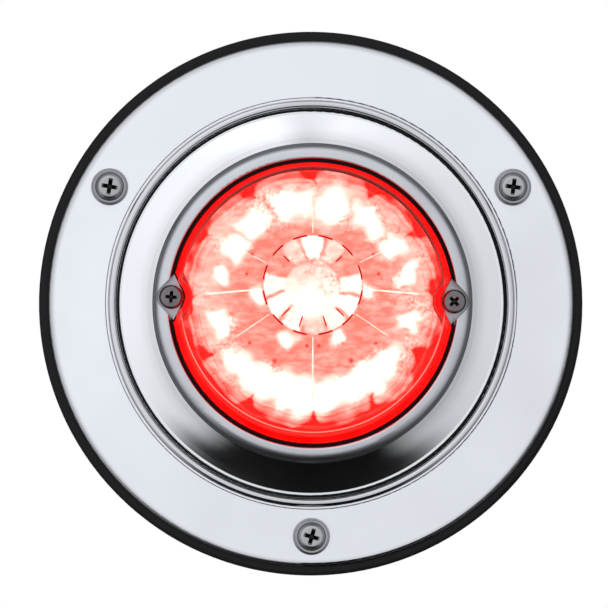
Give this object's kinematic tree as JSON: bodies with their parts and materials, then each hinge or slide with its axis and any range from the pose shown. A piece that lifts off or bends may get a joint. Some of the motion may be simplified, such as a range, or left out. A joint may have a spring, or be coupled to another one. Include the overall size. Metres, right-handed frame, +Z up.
{
  "type": "trailer tail light",
  "caption": "Round red LED trailer tail light: domed lens in a screwed-on bezel, raised polished cone, brushed flange on a rubber gasket, can and plug inlet behind.",
  "frame": {"origin": "centre of the mounting plane, which is the rear face of the base gasket", "axes": "+Y points into the panel, along the light's own axis; the lens faces -Y; +Z is up and +X is to the right seen from the front"},
  "size_m": [0.1578, 0.0578, 0.1578],
  "materials": {
    "gasket_rubber": "moulded, satin",
    "seal_rubber": "moulded, satin",
    "brushed_stainless": "circular brushed",
    "polished_stainless": "polished",
    "can_steel": "drawn, plated",
    "bezel_casting": "satin cast",
    "screw_steel": "stainless fastener",
    "washer_steel": "stainless pressing",
    "lens_screw_steel": "darker stainless fastener",
    "red_lens": "clear red, gloss",
    "clear_optic": "clear, gloss",
    "metallised_tray": "vacuum metallised",
    "led_package": "lit red LED",
    "board_laminate": "white solder mask",
    "driver_laminate": "green solder mask",
    "sink_aluminium": "mill finish",
    "brass": "turned",
    "black_plastic": "moulded, fine texture",
    "zinc_steel": "zinc plated",
    "capacitor_sleeve": "shrink sleeve",
    "ceramic_chip": "component body",
    "lead_black": "wire insulation",
    "lead_white": "wire insulation",
    "lead_red": "wire insulation",
    "vent_membrane": "vent cap"
  },
  "bodies": {
    "lamp_base": {"base_gasket": "gasket_rubber", "flange": "brushed_stainless", "housing_can": "can_steel", "seam_seal": "seal_rubber", "housing_cone": "polished_stainless", "seat_gasket": "seal_rubber", "screw_inserts": "brass", "finishing_washers": "washer_steel", "reflector": "metallised_tray", "ring_leds": "led_package", "centre_led": "led_package", "led_board": "board_laminate", "board_screws": "zinc_steel", "heat_sink": "sink_aluminium", "sink_screws": "zinc_steel", "support_posts": "zinc_steel", "rear_screws": "zinc_steel", "driver_board": "driver_laminate", "driver_standoffs": "brass", "board_link": "black_plastic", "capacitor": "capacitor_sleeve", "regulator": "black_plastic", "diodes": "black_plastic", "resistors": "ceramic_chip", "plug_inlet": "black_plastic", "inlet_seal": "seal_rubber", "inlet_rivets": "sink_aluminium", "breather_vent": "vent_membrane", "pin_tail": "brass", "pin_ground": "brass", "pin_stop": "brass", "lead_tail": "lead_black", "lead_ground": "lead_white", "lead_stop": "lead_red"},
    "lens_unit": {"lens_bezel": "bezel_casting", "lens_gasket": "seal_rubber", "lens": "red_lens", "petal_optic": "clear_optic", "collimator": "clear_optic"},
    "left_lens_screw": {"lens_screw_left": "lens_screw_steel"},
    "right_lens_screw": {"lens_screw_right": "lens_screw_steel"},
    "top_left_mount_screw": {"mount_screw_top_left": "screw_steel"},
    "top_right_mount_screw": {"mount_screw_top_right": "screw_steel"},
    "bottom_mount_screw": {"mount_screw_bottom": "screw_steel"}
  },
  "joints": [
    {"name": "lens_unit_slide", "type": "slide", "parent": "lamp_base", "child": "lens_unit", "axis": [0, -1, 0], "range_m": [0, 0.03]},
    {"name": "left_lens_screw_turn", "type": "hinge", "parent": "lens_unit", "child": "left_lens_screw", "pos_m": [-0.04078, -0.0144, 0.00174], "axis": [0, -1, 0], "continuous": true},
    {"name": "right_lens_screw_turn", "type": "hinge", "parent": "lens_unit", "child": "right_lens_screw", "pos_m": [0.04081, -0.0144, 0.00046], "axis": [0, -1, 0], "continuous": true},
    {"name": "top_left_mount_screw_turn", "type": "hinge", "parent": "lamp_base", "child": "top_left_mount_screw", "pos_m": [-0.05846, -0.0065, 0.03375], "axis": [0, -1, 0], "continuous": true},
    {"name": "top_right_mount_screw_turn", "type": "hinge", "parent": "lamp_base", "child": "top_right_mount_screw", "pos_m": [0.05846, -0.0065, 0.03375], "axis": [0, -1, 0], "continuous": true},
    {"name": "bottom_mount_screw_turn", "type": "hinge", "parent": "lamp_base", "child": "bottom_mount_screw", "pos_m": [0, -0.0065, -0.0675], "axis": [0, -1, 0], "continuous": true}
  ]
}
